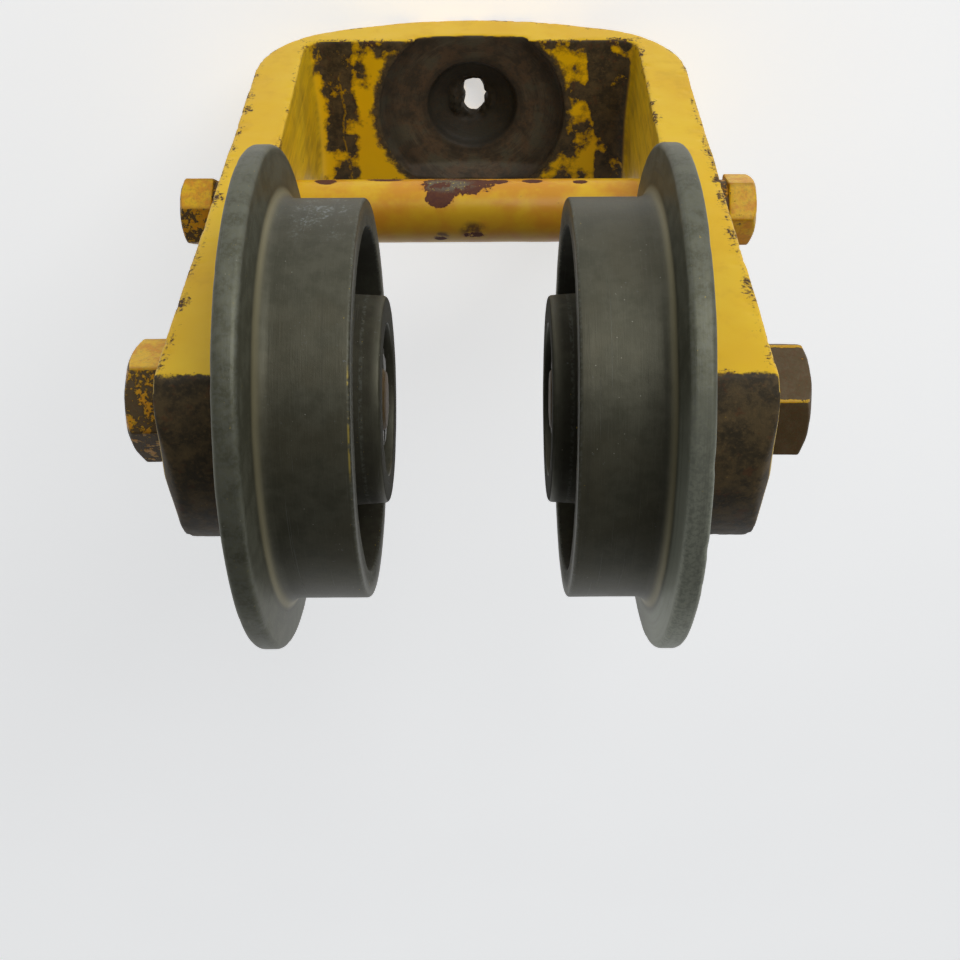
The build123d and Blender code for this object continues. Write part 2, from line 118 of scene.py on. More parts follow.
# --- Node materials ---------------------------------------------------------------------
class Paint:
    """Builds one node material. Sockets and plain numbers can be mixed freely."""

    def __init__(self, name, roughness=0.5, metallic=0.0, specular=0.5):
        self.material = bpy.data.materials.new(name)
        self.material.use_nodes = True
        self.tree = self.material.node_tree
        self.shader = self.tree.nodes["Principled BSDF"]
        self.shader.inputs["Roughness"].default_value = roughness
        self.shader.inputs["Metallic"].default_value = metallic
        self.shader.inputs["Specular IOR Level"].default_value = specular
        coordinates = self.node("ShaderNodeTexCoord").outputs["Object"]
        self.place = self.vector("SCALE", coordinates, Scale=1 / MM)
        self.x, self.y, self.z = self.split(self.place)
        facing = self.node("ShaderNodeNewGeometry").outputs["Normal"]
        self.nx, self.ny, self.nz = self.split(facing)

    def node(self, kind, **settings):
        made = self.tree.nodes.new(kind)
        for name, value in settings.items():
            setattr(made, name, value)
        return made

    def put(self, socket, value):
        if isinstance(value, bpy.types.NodeSocket):
            self.tree.links.new(value, socket)
        else:
            socket.default_value = value

    def split(self, vector):
        made = self.node("ShaderNodeSeparateXYZ")
        self.put(made.inputs[0], vector)
        return made.outputs[0], made.outputs[1], made.outputs[2]

    def join(self, x, y, z):
        made = self.node("ShaderNodeCombineXYZ")
        for socket, value in zip(made.inputs, (x, y, z)):
            self.put(socket, value)
        return made.outputs[0]

    def vector(self, operation, *values, **named):
        made = self.node("ShaderNodeVectorMath", operation=operation)
        for socket, value in zip(made.inputs, values):
            self.put(socket, value)
        for name, value in named.items():
            self.put(made.inputs[name], value)
        return made.outputs[1 if operation in ("LENGTH", "DISTANCE") else 0]

    def math(self, operation, *values, clamp=False):
        made = self.node("ShaderNodeMath", operation=operation, use_clamp=clamp)
        for socket, value in zip(made.inputs, values):
            self.put(socket, value)
        return made.outputs[0]

    def chain(self, operation, values):
        total = values[0]
        for value in values[1:]:
            total = self.math(operation, total, value)
        return total

    def add(self, *values):
        return self.chain("ADD", values)

    def times(self, *values):
        return self.chain("MULTIPLY", values)

    def both(self, a, share, b):
        """As much of a as the share says, and the rest of b."""
        return self.add(self.times(a, share), self.times(b, round(1 - share, 3)))

    def swing(self, value, reach):
        """A value from 0 to 1 turned into one to either side of 0."""
        return self.times(self.less(value, 0.5), reach)

    def less(self, a, b):
        return self.math("SUBTRACT", a, b)

    def most(self, *values):
        return self.chain("MAXIMUM", values)

    def inverse(self, value):
        return self.math("SUBTRACT", 1.0, value)

    def size(self, value):
        return self.math("ABSOLUTE", value)

    def length(self, a, b):
        return self.math("SQRT", self.add(self.times(a, a), self.times(b, b)))

    def rise(self, value, low, high):
        """0 below low, 1 above high, smooth between. With low above high it falls."""
        made = self.node("ShaderNodeMapRange", interpolation_type="SMOOTHSTEP")
        for name, number in (("Value", value), ("From Min", low), ("From Max", high)):
            self.put(made.inputs[name], number)
        return made.outputs[0]

    def window(self, value, low, high, soft):
        """1 between low and high, with soft sides."""
        return self.times(self.rise(value, low - soft, low + soft),
                          self.rise(value, high + soft, high - soft))

    def spread(self, value, low, high):
        """A value from 0 to 1 spread over low to high."""
        made = self.node("ShaderNodeMapRange", clamp=True)
        self.put(made.inputs["Value"], value)
        self.put(made.inputs["To Min"], low)
        self.put(made.inputs["To Max"], high)
        return made.outputs[0]

    def noise(self, scale, detail=4.0, rough=0.55, at=None, shift=0.0, twist=0.0):
        """Noise from 0 to 1. scale is in features per millimetre."""
        where = self.place if at is None else at
        if shift:
            where = self.vector("ADD", where, (shift, shift * 0.7, shift * 1.3))
        made = self.node("ShaderNodeTexNoise")
        self.put(made.inputs["Vector"], where)
        made.inputs["Scale"].default_value = scale
        made.inputs["Detail"].default_value = detail
        made.inputs["Roughness"].default_value = rough
        made.inputs["Distortion"].default_value = twist
        return made.outputs[0]

    def cells(self, scale):
        """Distance to the nearest of many scattered points."""
        made = self.node("ShaderNodeTexVoronoi")
        self.put(made.inputs["Vector"], self.place)
        made.inputs["Scale"].default_value = scale
        return made.outputs["Distance"]

    def stretch(self, x, y, z):
        return self.vector("MULTIPLY", self.place, (x, y, z))

    def mix(self, factor, a, b):
        made = self.node("ShaderNodeMix", data_type="RGBA")
        self.put(made.inputs[0], factor)
        for socket, value in ((made.inputs[6], a), (made.inputs[7], b)):
            self.put(socket, (*value, 1.0) if isinstance(value, tuple) else value)
        return made.outputs[2]

    def tint(self, colour, tone, *shares):
        """The colour, with as much of the tone over it as the shares multiplied."""
        return self.mix(self.times(*shares), colour, tone)

    def blend(self, factor, a, b):
        made = self.node("ShaderNodeMix", data_type="FLOAT")
        for socket, value in zip(made.inputs[:1] + made.inputs[2:4], (factor, a, b)):
            self.put(socket, value)
        return made.outputs[0]

    def attribute(self, name):
        return self.node("ShaderNodeAttribute", attribute_name=name).outputs["Fac"]

    def bump(self, height, depth):
        """height is 0 to 1, and depth what 1 stands for in millimetres."""
        made = self.node("ShaderNodeBump")
        made.inputs["Strength"].default_value = 1.0
        made.inputs["Distance"].default_value = depth * MM
        self.put(made.inputs["Height"], height)
        return made.outputs[0]

    def finish(self, colour, rough=None, normal=None, metal=None):
        self.put(self.shader.inputs["Base Color"], colour)
        for name, value in (("Roughness", rough), ("Normal", normal), ("Metallic", metal)):
            if value is not None:
                self.put(self.shader.inputs[name], value)
        return self.material


# --- Colours ----------------------------------------------------------------------------
YELLOW = (0.70, 0.42, 0.006)
YELLOW_PALE = (0.73, 0.47, 0.014)
YELLOW_DIRT_AND_SHADE = (0.33, 0.21, 0.016)
ORANGE = (0.62, 0.27, 0.010)
STAIN = (0.17, 0.085, 0.008)
BARE_BROWN = (0.100, 0.070, 0.033)
BARE_BLACK = (0.040, 0.031, 0.018)
RUST = (0.105, 0.033, 0.013)
RUST_RED = (0.080, 0.021, 0.011)
GREASE = (0.020, 0.016, 0.010)

# In the crown.
CROWN_PAINTED_LIGHT_YELLOW = (0.92, 0.53, 0.002)
OILY_BROWN = (0.150, 0.098, 0.042)
CHIP_BROWN = (0.075, 0.034, 0.018)
SEAT_TONES = (0.048, 0.037, 0.024), (0.130, 0.098, 0.062)
SEAT_BROWN = (0.115, 0.072, 0.040)
SEAT_OLIVE = (0.085, 0.078, 0.052)
SEAT_SPOTS = (0.030, 0.024, 0.017)
SEAT_GROOVE = (0.024, 0.020, 0.014)
BORE_DARK = (0.022, 0.020, 0.015)

# On the spacer tube.
TUBE_PAINTED_SHADE = (0.34, 0.15, 0.02)
TUBE_SMUDGE = (0.06, 0.022, 0.016)
TUBE_CHIP_LIP = (0.42, 0.11, 0.012)
TUBE_STEEL = (0.125, 0.108, 0.075)
TUBE_FLAKE = (0.55, 0.42, 0.06)

# On the wheels.
TREAD_TONES = (0.062, 0.060, 0.040), (0.084, 0.081, 0.056)
TREAD_BROWN = (0.076, 0.068, 0.042)
FLANGE_TONES = (0.086, 0.086, 0.057), (0.128, 0.129, 0.092)
FILLET_OLIVE_HIGHLIGHT = (0.245, 0.220, 0.130)
FLANGE_PAINTED_LIGHT = (0.30, 0.315, 0.25)
MARK_LIGHT = (0.130, 0.127, 0.094)
BAND_DARK = (0.052, 0.050, 0.036)
POCKET_DIRT = (0.036, 0.032, 0.021)
HUB_FACE_DARK = (0.030, 0.028, 0.019)
SCUFF_PALE = (0.27, 0.29, 0.29)
RUBBED_PALE = (0.26, 0.29, 0.29)
DUST_PALE = (0.34, 0.33, 0.27)
EDGE_WORN = (0.13, 0.135, 0.11)
FLECK_YELLOW = (0.45, 0.33, 0.04)
HAIR_PALE = (0.17, 0.175, 0.15)

# On the bolts, the bearings and the rest of the hardware.
BOLT_BROWN = (0.082, 0.054, 0.020)
PLATED_TONES = (0.09, 0.085, 0.075), (0.19, 0.18, 0.16)
RACE_TONES = (0.22, 0.21, 0.20), (0.38, 0.37, 0.35)
SHIELD_TONES = (0.06, 0.058, 0.052), (0.12, 0.115, 0.10)
BRASS_TONES = (0.38, 0.24, 0.07), (0.55, 0.37, 0.12)


def yoke_material():
    """Yellow paint over dark steel: bare in the seat and on the arm ends, worn through in places."""
    p = Paint("yoke_paint", specular=0.18)
    broad = p.noise(0.035, 3)
    blotch = p.noise(0.10, 5, 0.6, shift=40)
    patch = p.noise(0.22, 7, 0.68, shift=10)
    fine = p.noise(0.9, 6, 0.65, shift=70)
    grain = p.noise(3.0, 3, 0.6)

    radius = p.length(p.x, p.y)
    facing_up = p.rise(p.nz, 0.45, 0.75)
    low_down = p.rise(p.z, 40, 24)

    # The turned seat and the bore are bare. So is a ragged ring just outside them.
    ragged = p.less(radius, p.swing(patch, 9.0))
    within_band = p.rise(p.size(p.y), HALF_BAND - 0.1, HALF_BAND - 0.7)
    not_under = p.rise(p.nz, -0.5, -0.2)
    seat = p.times(p.rise(radius, SEAT_RADIUS + 0.5, SEAT_RADIUS - 0.1), within_band, not_under,
                   low_down)
    seat_ring = p.times(p.rise(ragged, SEAT_RADIUS + 3.6, SEAT_RADIUS + 1.4), within_band, not_under,
                        low_down)

    # Patches worn through on the crown, with stained paint round them.
    near_plus = p.times(p.window(p.x, 39.0, 50.0, 2.0), p.blend(p.rise(p.y, -2.0, 6.0), 1.0, 0.66))
    near_plus_rear = p.times(p.window(p.x, 35.0, 50.0, 3.0), p.rise(p.y, -6.0, -12.0), 0.62)
    near_minus = p.window(p.add(p.x, p.times(p.rise(p.y, -8.0, 8.0), 4.5)), -53.5, -38.5, 1.4)
    mottled_minus = p.times(p.window(p.x, -41.0, -22.0, 2.0), 0.36)
    rear_strip = p.times(p.rise(p.y, -20.5, -24.5), 0.60)
    lower_plus = p.times(p.rise(p.y, 2.0, 12.0), p.window(p.x, 26.0, 40.0, 2.0), 0.5)
    worn = p.less(p.most(near_plus, near_plus_rear, near_minus, mottled_minus, rear_strip), lower_plus)
    speck = p.both(patch, 0.72, fine)
    smear = p.noise(0.15, 4, 0.52, shift=64)
    ragged_wear = p.add(p.times(worn, 0.90), p.swing(smear, 3.0),
                        p.swing(speck, 1.8))
    on_crown = p.times(facing_up, low_down, p.rise(p.size(p.x), 54.5, 52.5))
    crown_bare = p.times(p.rise(ragged_wear, 0.42, 0.60), on_crown)
    stained = p.times(p.rise(ragged_wear, 0.05, 0.52), on_crown, 0.70)

    # Two thin wavering lines of paint are left standing in the worn patch.
    wavering = p.add(p.x, p.swing(p.noise(0.10, 4, 0.6, shift=6), 5.0))
    lines = p.most(p.times(p.window(wavering, 43.6, 44.2, 0.22), p.rise(p.y, -16.0, -12.0)),
                   p.times(p.window(wavering, 51.6, 52.1, 0.22), p.window(p.y, -14.0, 6.0, 2.0)))
    lines = p.times(lines, p.rise(fine, 0.40, 0.50))
    crown_bare = p.times(crown_bare, p.inverse(p.times(lines, 0.85)))

    # The arm ends were never painted, or have lost all their paint.
    end_line = p.add(BARE_END_Z, p.swing(patch, 6.0), p.swing(fine, 2.0))
    on_side = p.rise(p.size(p.y), HALF_BAND - 1.0, HALF_BAND - 0.5)
    on_end = p.most(p.rise(p.nz, 0.30, 0.55), on_side)
    arm_end = p.times(on_end, p.rise(p.less(p.z, end_line), -0.5, 0.5))
    flecks = p.times(p.rise(p.both(fine, 0.45, patch), 0.645, 0.69), 0.7)
    arm_end = p.times(arm_end, p.inverse(flecks))

    # Knocks along the sharp edges.
    rim = p.attribute("rim")
    knock = p.noise(0.13, 2, 0.5, shift=25)
    chipped = p.add(p.times(rim, 0.62), p.swing(fine, 1.9),
                    p.swing(knock, 1.5))
    chips = p.times(p.rise(chipped, 0.78, 0.90), p.rise(rim, 0.25, 0.5))
    specks = p.rise(p.both(fine, 0.65, knock), 0.70, 0.72)

    # Grime round the bolts and in the corners, with painted shade round the cross bolt's head and nut.
    bolt_x = p.rise(p.size(p.x), 60, 66)
    from_axle = p.length(p.y, p.less(p.z, AXLE_Z))
    from_cross_bolt = p.length(p.y, p.less(p.z, CROSS_Z))
    around_axle = p.times(bolt_x, p.rise(from_axle, 27.0, 15.0))
    cross_bolt_grime_and_shade = p.times(bolt_x, p.rise(from_cross_bolt, 20.0, 9.5))
    grime_and_shade_field = p.times(p.most(around_axle, cross_bolt_grime_and_shade), 0.80)
    outside = p.times(p.rise(p.size(p.nx), 0.6, 0.85), 0.16)
    grime_and_shade = p.rise(p.add(grime_and_shade_field, outside, p.swing(speck, 2.2)), 0.42, 0.60)
    under = p.times(p.rise(p.nz, -0.5, -0.9), p.rise(p.add(speck, 0.06), 0.52, 0.60))

    bare = p.most(seat, seat_ring, crown_bare, arm_end, chips, specks, grime_and_shade, under)

    # Paint: patchy, and darker between the arms and on their outer walls: dirt, with painted shade on
    # the faces turned away from ±Y.
    shade_off_y_faces = p.inverse(p.rise(p.size(p.ny), 0.3, 0.7))
    streak = p.noise(0.5, 5, 0.6, at=p.stretch(1.0, 1.0, 0.10), shift=5)
    inner_wall = p.times(p.rise(p.size(p.nx), 0.5, 0.8), p.rise(p.size(p.x), 60, 57))
    dirt_and_shade = p.math("MINIMUM", p.add(p.times(shade_off_y_faces, p.rise(blotch, 0.42, 0.75), 0.25),
                                   p.times(inner_wall, p.rise(streak, 0.30, 0.7), 0.55),
                                   p.times(p.rise(blotch, 0.52, 0.8), 0.20)), 1.0)
    paint = p.mix(p.rise(broad, 0.35, 0.65), YELLOW, YELLOW_PALE)
    paint = p.tint(paint, ORANGE, p.rise(blotch, 0.45, 0.7), 0.18)
    paint = p.mix(dirt_and_shade, paint, YELLOW_DIRT_AND_SHADE)
    # Painted light: the crown's inner face, which faces up, gets a brighter yellow.
    paint = p.tint(paint, CROWN_PAINTED_LIGHT_YELLOW, on_crown, 0.80)
    paint = p.mix(stained, paint, STAIN)
    near_bare = p.times(p.rise(chipped, 0.60, 0.80), p.rise(rim, 0.2, 0.5))
    paint = p.tint(paint, RUST, near_bare, 0.5)

    # Bare steel: turning marks in the seat, oily brown elsewhere.
    swirl = p.join(p.add(radius, p.times(p.x, 0.05)), p.times(p.y, 0.07), p.times(p.x, 0.07))
    rings = p.both(p.noise(0.55, 5, 0.75, at=swirl), 0.6, p.noise(1.9, 3, 0.6, at=swirl))
    metal = p.mix(p.rise(patch, 0.38, 0.66), BARE_BLACK, BARE_BROWN)
    metal = p.tint(metal, OILY_BROWN, p.rise(fine, 0.48, 0.68), 0.45)
    turned = p.mix(p.times(p.rise(rings, 0.36, 0.68), p.rise(smear, 0.30, 0.62)), *SEAT_TONES)
    turned = p.tint(turned, SEAT_BROWN, p.rise(patch, 0.42, 0.62), 0.7)
    turned = p.tint(turned, SEAT_OLIVE, p.rise(smear, 0.50, 0.64), 0.7)
    turned = p.tint(turned, SEAT_SPOTS, p.rise(fine, 0.55, 0.70), 0.4)
    dark_rim = p.most(p.window(radius, 26.5, 33.0, 2.0), p.window(radius, 14.0, 17.5, 1.0))
    turned = p.tint(turned, SEAT_GROOVE, dark_rim, 0.45)
    in_bore = p.rise(radius, BORE_RADIUS + 0.8, BORE_RADIUS - 0.6)
    turned = p.tint(turned, BORE_DARK, in_bore, 0.75)
    metal = p.mix(seat, metal, turned)
    rusty = p.times(p.rise(p.noise(0.3, 5, 0.6, shift=90), 0.58, 0.68), 0.35, p.inverse(seat))
    metal = p.mix(rusty, metal, RUST)
    metal = p.tint(metal, CHIP_BROWN, chips, p.inverse(seat), 0.8)

    colour = p.mix(bare, paint, metal)
    rough = p.blend(bare, p.spread(blotch, 0.26, 0.48), p.spread(fine, 0.42, 0.75))
    rings_height = p.times(p.rise(rings, 0.3, 0.7), p.times(seat, 0.14))
    height = p.add(p.times(p.inverse(bare), 0.55), p.times(grain, p.blend(bare, 0.02, 0.08)),
                   p.times(fine, p.blend(bare, 0.06, 0.30)), rings_height)
    return p.finish(colour, rough, p.bump(height, 0.30))


def tube_material():
    """Orange-yellow paint with rust-red chips, mostly on the side that faces -Y and -Z, and painted
    shade on the side that faces +Z and +Y.
    """
    p = Paint("tube_paint", specular=0.3)
    fine = p.noise(0.9, 6, 0.65, shift=12)
    patch = p.noise(0.25, 6, 0.65, shift=33)
    blotch = p.noise(0.07, 4, 0.55, shift=3)
    grain = p.noise(3.5, 3)
    around = p.times(p.math("ARCTAN2", p.less(p.z, CROSS_Z), p.times(p.y, -1.0)), TUBE_RADIUS)

    def spot(x, turn, half_length, half_height, strength=1.0):
        """A soft patch at x along the tube and turn degrees up from the -Y line."""
        middle = radians(turn) * TUBE_RADIUS
        across = p.times(p.less(p.x, x), 1 / half_length)
        up = p.times(p.less(around, middle), 1 / half_height)
        return p.times(p.rise(p.length(across, up), 1.35, 0.55), strength)

    wobble = p.swing(p.both(patch, 0.6, fine), 3.0)
    field = p.most(spot(4, 4, 12.5, 4.9), spot(9, 35, 4.6, 3.6), spot(-8, -6, 4.0, 1.7),
                   spot(-19, -8, 3.4, 1.5), spot(43.5, -10, 3.6, 2.4), spot(26, -18, 6.5, 1.5),
                   spot(-33, -4, 2.4, 1.2), spot(-1, 108, 3.4, 1.3, 0.8), spot(9, 119, 2.2, 1.1, 0.8),
                   spot(-40, -150, 12, 5, 0.8), spot(20, 175, 14, 5, 0.8))
    chips = p.rise(p.add(field, wobble), 0.52, 0.60)
    specks = p.rise(p.both(fine, 0.7, patch), 0.675, 0.70)
    bare = p.most(chips, specks)
    lip = p.rise(p.add(field, wobble), 0.30, 0.54)

    paint = p.mix(p.rise(blotch, 0.40, 0.62), YELLOW, ORANGE)
    paint = p.tint(paint, YELLOW_PALE, p.rise(patch, 0.50, 0.72), 0.35)
    # Painted shade: the paint is darker on the side that faces +Z and +Y.
    low = p.rise(around, 4.5, 12.0)
    paint = p.tint(paint, TUBE_PAINTED_SHADE, low, 0.45)
    smudge = p.most(spot(-1, 98, 4.0, 3.0), spot(9, 112, 3.0, 2.0))
    paint = p.tint(paint, TUBE_SMUDGE, smudge, p.rise(patch, 0.40, 0.60), 0.85)
    paint = p.tint(paint, TUBE_CHIP_LIP, lip, 0.30)

    inside = p.times(spot(7, 4, 8, 3.0), p.rise(patch, 0.42, 0.50))
    steel = p.mix(p.rise(fine, 0.40, 0.62), RUST_RED, RUST)
    steel = p.tint(steel, TUBE_STEEL, inside, 0.9)
    flakes = p.times(inside, p.rise(p.noise(1.6, 4, 0.6, shift=8), 0.58, 0.64))
    steel = p.mix(flakes, steel, TUBE_FLAKE)

    colour = p.mix(bare, paint, steel)
    rough = p.blend(bare, p.spread(patch, 0.24, 0.42), p.spread(fine, 0.55, 0.85))
    height = p.add(p.times(p.inverse(bare), 0.7), p.times(fine, p.blend(bare, 0.06, 0.30)),
                   p.times(grain, 0.04))
    return p.finish(colour, rough, p.bump(height, 0.30))


def wheel_material():
    """Dark turned steel. turn is the angle about the axle, 0 at the top, and depth is |x|."""
    p = Paint("wheel_steel", specular=0.30)
    up = p.less(p.z, AXLE_Z)
    radius = p.length(p.y, up)
    turn = p.math("ARCTAN2", p.y, up)
    depth = p.size(p.x)
    polar = p.join(p.x, radius, p.times(turn, 2.2))
    marks = p.noise(2.6, 4, 0.7, at=polar)
    band = p.noise(0.55, 3, 0.6, at=p.join(p.x, radius, p.times(turn, 0.8)), shift=9)
    blotch = p.noise(0.055, 4, 0.55)
    patch = p.noise(0.22, 6, 0.62, shift=21)
    fine = p.noise(1.1, 5, 0.65, shift=50)
    grain = p.noise(4.0, 3, 0.6)
    on_flange = p.rise(radius, TREAD_RADIUS + 2.0, TREAD_RADIUS + 5.0)
    fillet = p.times(p.window(radius, TREAD_RADIUS + 0.9, TREAD_RADIUS + 2.6, 0.7),
                     p.rise(depth, TREAD_OUTER_X - 4.5, TREAD_OUTER_X - 2.5))
    in_pocket = p.times(p.rise(radius, TREAD_RADIUS - 1.0, TREAD_RADIUS - 5.5),
                        p.rise(depth, HUB_FACE_X + 0.4, HUB_FACE_X + 3.0))

    base = p.mix(p.rise(patch, 0.36, 0.64), *TREAD_TONES)
    base = p.tint(base, TREAD_BROWN, p.rise(blotch, 0.42, 0.66), 0.5)
    rim = p.mix(p.rise(patch, 0.38, 0.62), *FLANGE_TONES)
    colour = p.mix(on_flange, base, rim)
    # The fillet between the tread and the flange is light olive: an olive tint with a painted
    # highlight.
    colour = p.tint(colour, FILLET_OLIVE_HIGHLIGHT, fillet, 0.85)
    # Painted light: a lighter patch near the top of the -X wheel's flange.
    flange_light_patch = p.times(on_flange, p.rise(p.x, 0.0, -1.0), p.window(turn, -0.55, 0.9, 0.35))
    colour = p.tint(colour, FLANGE_PAINTED_LIGHT, flange_light_patch, 0.85)
    colour = p.tint(colour, MARK_LIGHT, p.rise(marks, 0.50, 0.74), 0.22)
    colour = p.tint(colour, BAND_DARK, p.rise(band, 0.52, 0.72), 0.30)
    colour = p.tint(colour, POCKET_DIRT, in_pocket, p.rise(patch, 0.3, 0.6), 0.7)

    hub_face = p.times(p.rise(p.size(p.nx), 0.7, 0.95), p.rise(radius, 28.0, 26.5),
                       p.rise(depth, HUB_FACE_X + 4.0, HUB_FACE_X + 1.0))
    colour = p.tint(colour, HUB_FACE_DARK, hub_face, 0.75)

    # Scuffs: pale dust, thin scratches and paint flecks picked up near the edges.
    scuff = p.times(p.rise(p.noise(0.85, 6, 0.75, shift=61), 0.63, 0.70), p.rise(blotch, 0.46, 0.60))
    colour = p.tint(colour, SCUFF_PALE, scuff, 0.45)
    rubbed = p.times(p.window(turn, -2.15, -1.55, 0.12), p.window(p.x, 26.5, 39.0, 2.5),
                     p.rise(radius, 48.0, 49.0))
    rubbed = p.times(rubbed, p.rise(p.both(fine, 0.6, patch), 0.52, 0.64))
    colour = p.tint(colour, RUBBED_PALE, rubbed, 0.6)
    dust = p.rise(p.cells(0.55), 0.085, 0.05)
    sparse = p.rise(p.noise(0.12, 2, shift=77), 0.52, 0.60)
    colour = p.tint(colour, DUST_PALE, dust, sparse, 0.55)
    edge = p.most(p.window(depth, TREAD_INNER_X - 0.2, TREAD_INNER_X + 0.6, 0.25),
                  p.window(radius, FLANGE_RADIUS - 1.0, FLANGE_RADIUS + 1.0, 0.3))
    colour = p.tint(colour, EDGE_WORN, edge, p.rise(fine, 0.42, 0.62), 0.55)
    fleck = p.times(p.rise(p.noise(0.9, 4, 0.6, shift=15), 0.69, 0.72),
                    p.most(p.window(depth, TREAD_INNER_X - 0.5, TREAD_INNER_X + 1.7, 0.5),
                           p.times(on_flange, 0.4)))
    brushed = p.times(p.window(p.x, TREAD_INNER_X + 0.3, TREAD_INNER_X + 0.6, 0.2),
                      p.window(turn, -0.82, -0.36, 0.05), p.rise(radius, 47.5, 48.5),
                      p.rise(patch, 0.44, 0.52), 0.7)
    colour = p.mix(p.most(fleck, brushed), colour, FLECK_YELLOW)
    drawn_out = p.vector("MULTIPLY", polar, (3.0, 3.0, 0.35))
    hair = p.rise(p.noise(0.9, 3, 0.5, at=drawn_out, shift=31), 0.69, 0.72)
    colour = p.tint(colour, HAIR_PALE, hair, 0.35)

    rough = p.add(p.spread(patch, 0.42, 0.56), p.times(p.most(scuff, in_pocket), 0.3),
                  p.times(hub_face, 0.5))
    height = p.add(p.times(marks, 0.35), p.times(fine, 0.28), p.times(grain, 0.10),
                   p.times(hair, -0.3), p.times(patch, 0.25))
    return p.finish(colour, rough, p.bump(height, 0.10), p.blend(hub_face, 0.55, 0.0))


def bolt_material(name, overspray, rust_share, painted, edge_paint=0.0):
    """Old hex heads: overspray from -Y that has worn back to brown steel.

    overspray is the extra paint towards -Y, painted its share elsewhere, and edge_paint its
    share on the hexagon's corners.
    """
    p = Paint(name, specular=0.25)
    patch = p.noise(0.30, 6, 0.66, shift=17)
    fine = p.noise(1.2, 5, 0.65, shift=44)
    grain = p.noise(4.0, 3)
    speck = p.both(patch, 0.65, fine)
    forward = p.times(p.ny, -1.0)
    towards = p.less(p.times(p.rise(forward, 0.62, 0.92), overspray),
                     p.times(p.rise(forward, 0.2, -0.3), 0.22))
    corner = p.attribute("corner")
    along_edge = p.times(p.rise(corner, 0.35, 0.8), p.rise(forward, 0.1, 0.5), edge_paint)
    share = p.add(p.most(towards, along_edge), painted - 0.5, p.swing(speck, 3.0))
    cover = p.rise(share, -0.06, 0.08)
    cover = p.times(cover, p.rise(p.size(p.x), 58.0, 64.0))
    steel = p.mix(p.rise(patch, 0.34, 0.58), BARE_BROWN, BOLT_BROWN)
    steel = p.tint(steel, RUST, p.rise(fine, 0.44, 0.64), rust_share)
    paint = p.mix(p.rise(patch, 0.40, 0.62), YELLOW, ORANGE)
    paint = p.tint(paint, YELLOW_DIRT_AND_SHADE, p.rise(fine, 0.45, 0.70), 0.45)
    paint = p.tint(paint, STAIN, p.rise(corner, 0.3, 0.9), 0.35)
    colour = p.mix(cover, steel, paint)
    rough = p.blend(cover, p.spread(fine, 0.45, 0.78), p.spread(patch, 0.30, 0.50))
    height = p.add(p.times(cover, 0.5), p.times(fine, 0.35), p.times(grain, 0.08))
    return p.finish(colour, rough, p.bump(height, 0.25))


def steel_material(name, dark, light, roughness, metallic=0.6, grease=0.5):
    """Plain steel hardware with a film of old grease."""
    p = Paint(name, roughness, metallic)
    patch = p.noise(0.45, 5, 0.6, shift=13)
    fine = p.noise(2.0, 4, 0.6, shift=2)
    film = p.times(p.rise(p.noise(0.25, 5, 0.6, shift=53), 0.42, 0.58), grease)
    colour = p.mix(p.rise(patch, 0.35, 0.65), dark, light)
    colour = p.mix(film, colour, GREASE)
    rough = p.add(p.spread(fine, roughness - 0.08, roughness + 0.12), p.times(film, 0.15))
    return p.finish(colour, rough, p.bump(fine, 0.06))


# --- Mesh code --------------------------------------------------------------------------
def add_piece(name, mesh, body, stands_for, material):
    piece = bpy.data.objects.new(name, mesh)
    scene.collection.objects.link(piece)
    mesh.materials.clear()
    mesh.materials.append(material)
    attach(piece, body)
    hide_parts(stands_for)
    return piece


def rounded(corners, steps=5):
    """Points of a closed outline from (u, v, radius) corners, each corner turned into an arc."""
    points = []
    count = len(corners)
    for index, (u, v, radius) in enumerate(corners):
        here = Vector((u, v))
        before = Vector(corners[index - 1][:2]) - here
        after = Vector(corners[(index + 1) % count][:2]) - here
        if radius <= 0:
            points.append(here)
            continue
        bend = before.angle(after)
        reach = min(radius / tan(bend / 2), before.length * 0.49, after.length * 0.49)
        real = reach * tan(bend / 2)
        start = here + before.normalized() * reach
        middle = here + (before.normalized() + after.normalized()).normalized() * (real / sin(bend / 2))
        first = start - middle
        sweep = pi - bend
        side = 1 if before.x * after.y - before.y * after.x < 0 else -1
        for step in range(steps + 1):
            angle = side * sweep * step / steps
            points.append(middle + Matrix.Rotation(angle, 2) @ first)
    return points


def divided(points, longest, closed=True):
    """The same outline with its long runs divided, so that a surface has even faces."""
    made = []
    last = len(points) if closed else len(points) - 1
    for index in range(last):
        here, there = points[index], points[(index + 1) % len(points)]
        parts = max(1, int((there - here).length / longest + 0.5))
        made += [here.lerp(there, part / parts) for part in range(parts)]
    if not closed:
        made.append(points[-1])
    return made


def bridge(shape, low, high):
    """Joins two rings that have as many vertices by a band of four-sided faces."""
    for index in range(len(low)):
        following = (index + 1) % len(low)
        shape.faces.new((low[index], low[following], high[following], high[index]))


def lathe(name, points, centre_z, segments):
    """Turns a closed (x, radius) outline about an axle along X at height centre_z."""
    shape = bmesh.new()
    rings = []
    for step in range(segments):
        angle = 2 * pi * step / segments
        rings.append([shape.verts.new((x * MM, r * sin(angle) * MM, (centre_z + r * cos(angle)) * MM))
                      for x, r in points])
    for step in range(segments):
        bridge(shape, rings[step], rings[(step + 1) % segments])
    return mesh_from(name, shape)


def mesh_from(name, shape):
    bmesh.ops.remove_doubles(shape, verts=shape.verts, dist=1e-7)
    bmesh.ops.recalc_face_normals(shape, faces=shape.faces)
    mesh = bpy.data.meshes.new(name)
    shape.to_mesh(mesh)
    shape.free()
    for face in mesh.polygons:
        face.use_smooth = True
    return mesh


